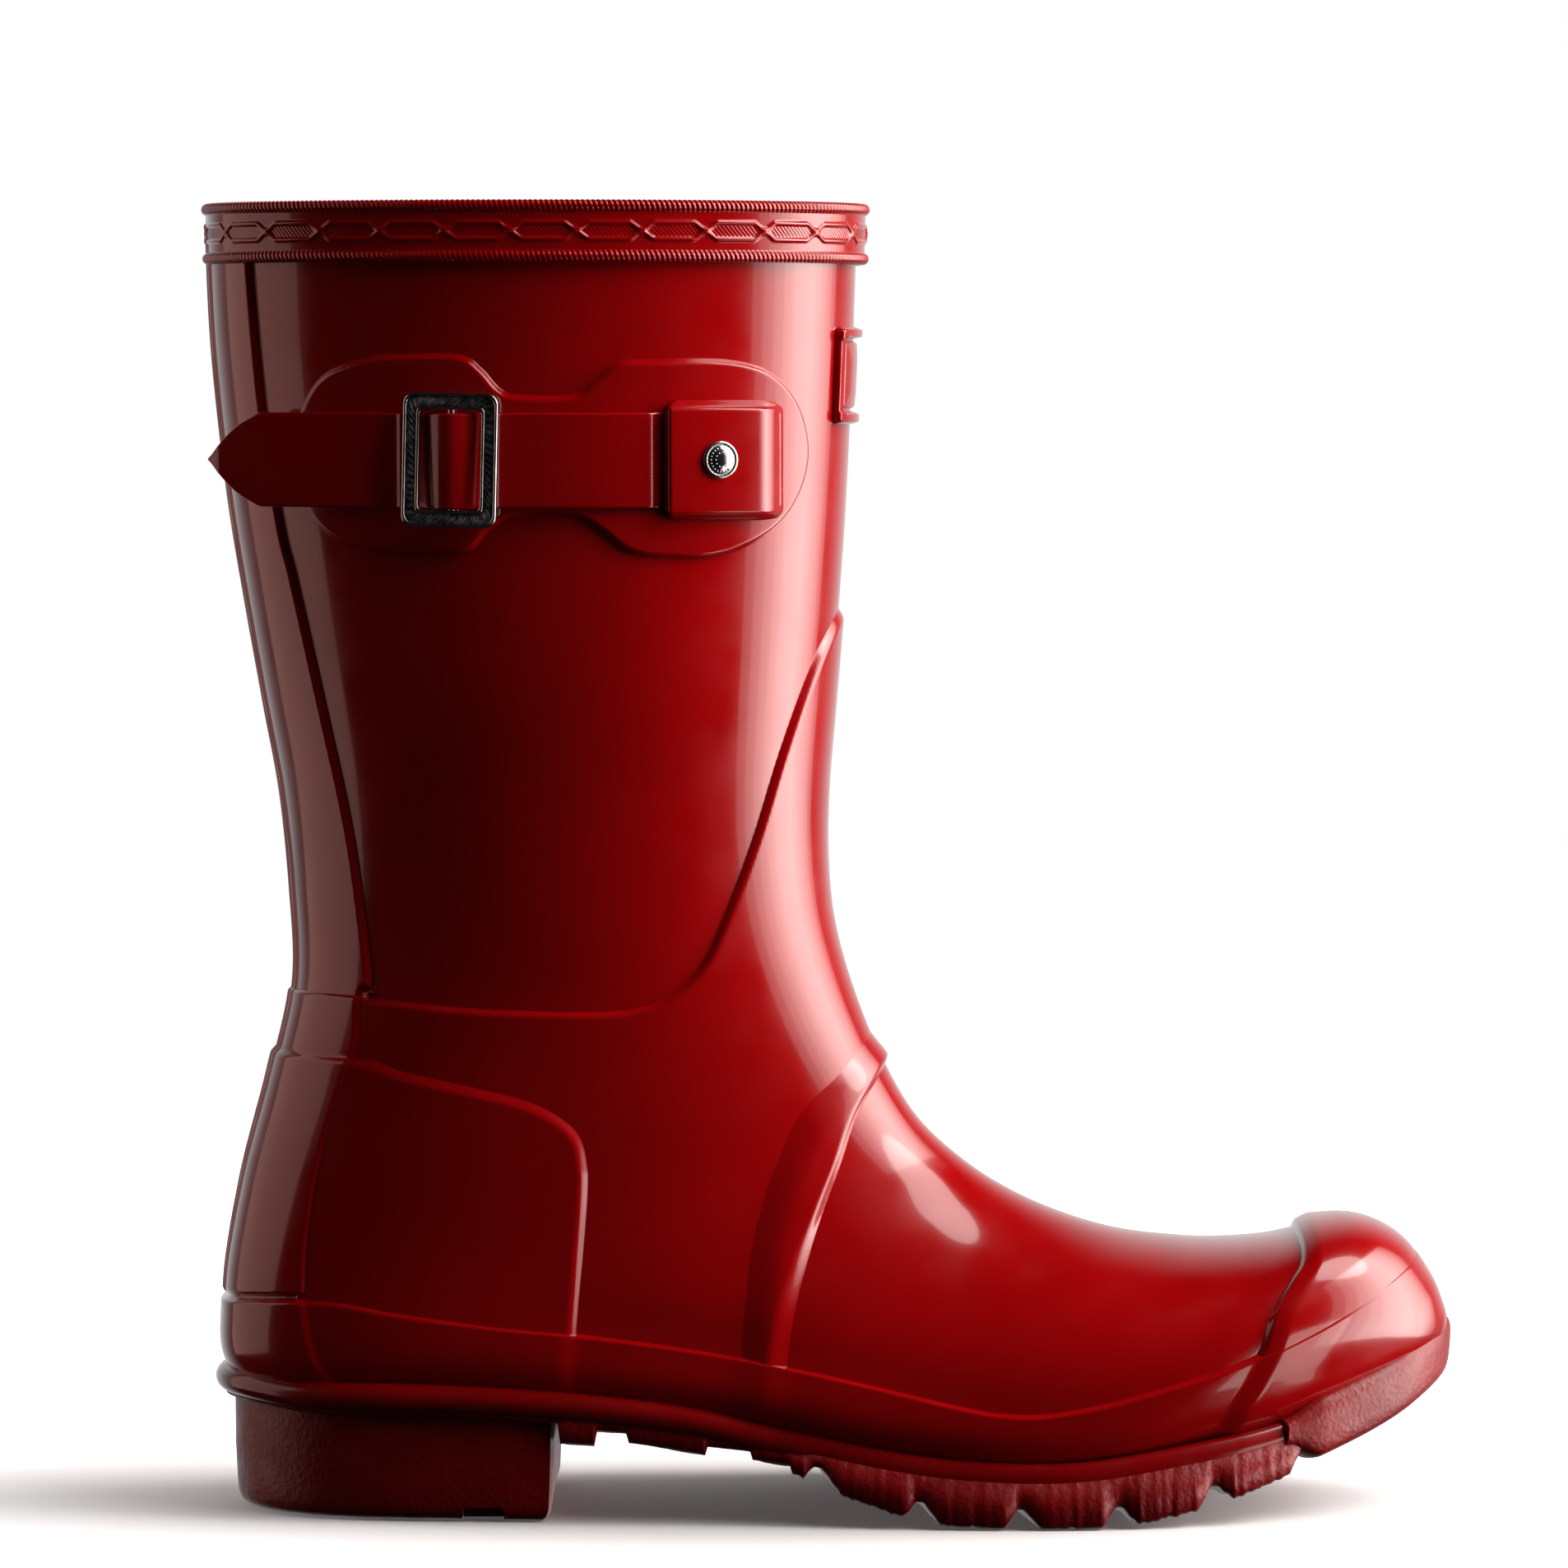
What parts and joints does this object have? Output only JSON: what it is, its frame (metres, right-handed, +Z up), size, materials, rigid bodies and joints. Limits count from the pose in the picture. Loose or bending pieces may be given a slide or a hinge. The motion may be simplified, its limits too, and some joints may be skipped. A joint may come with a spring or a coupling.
{
  "type": "rubber rain boot",
  "caption": "Short glossy rubber rain boot for the right foot, with layered upper, side strap and buckle, lugged sole, block heel and lift-out insole.",
  "frame": {"origin": "middle of the boot's footprint on the ground, at the centre of its bounding box", "axes": "+X towards the toe, +Y towards the inner side of the foot, +Z up; the strap and buckle are on -Y, the outer side"},
  "size_m": [0.2871, 0.108, 0.3],
  "materials": {
    "gloss_rubber": "gloss lacquered natural rubber, deep red",
    "matte_rubber": "matte grained moulded rubber, deep red",
    "lining_fabric": "knitted polyester lining",
    "steel": "polished plated steel",
    "fibre_board": "pressed fibre board",
    "insole_foam": "soft open foam",
    "insole_fabric": "brushed knit"
  },
  "bodies": {
    "boot": {"upper_shell": "gloss_rubber", "textile_lining": "lining_fabric", "foot_overlay": "gloss_rubber", "foxing_strip": "gloss_rubber", "heel_counter_lateral": "gloss_rubber", "heel_counter_medial": "gloss_rubber", "back_stay_lower": "gloss_rubber", "back_stay_upper": "gloss_rubber", "instep_band": "gloss_rubber", "toe_cap": "gloss_rubber", "top_binding": "gloss_rubber", "outsole": "matte_rubber", "arch_shank": "steel", "heel_block": "matte_rubber", "toe_bumper": "matte_rubber", "insole_board": "fibre_board", "strap_patch": "gloss_rubber", "strap": "gloss_rubber", "anchor_pad": "gloss_rubber", "rivet": "steel", "rivet_burr": "steel", "buckle_keeper": "gloss_rubber", "badge_frame": "gloss_rubber", "badge_plaque": "gloss_rubber"},
    "buckle": {"buckle_frame": "steel", "buckle_bar": "steel"},
    "strap_tail": {"strap_tail": "gloss_rubber"},
    "insole": {"insole_foam": "insole_foam", "insole_cover": "insole_fabric"}
  },
  "joints": [
    {"name": "buckle_rock", "type": "hinge", "parent": "boot", "child": "buckle", "pos_m": [-0.08441, -0.04931, 0.2415], "axis": [0, 0, 1], "range_deg": [-3, 3]},
    {"name": "strap_tail_flex", "type": "hinge", "parent": "boot", "child": "strap_tail", "pos_m": [-0.09687, -0.04674, 0.2415], "axis": [0, 0, 1], "range_deg": [0, 40], "stiffness_Nm_per_rad": 0.02},
    {"name": "insole_lift", "type": "hinge", "parent": "boot", "child": "insole", "pos_m": [0.1285, 0, 0.0355], "axis": [0, 1, 0], "range_deg": [0, 3.5]}
  ]
}
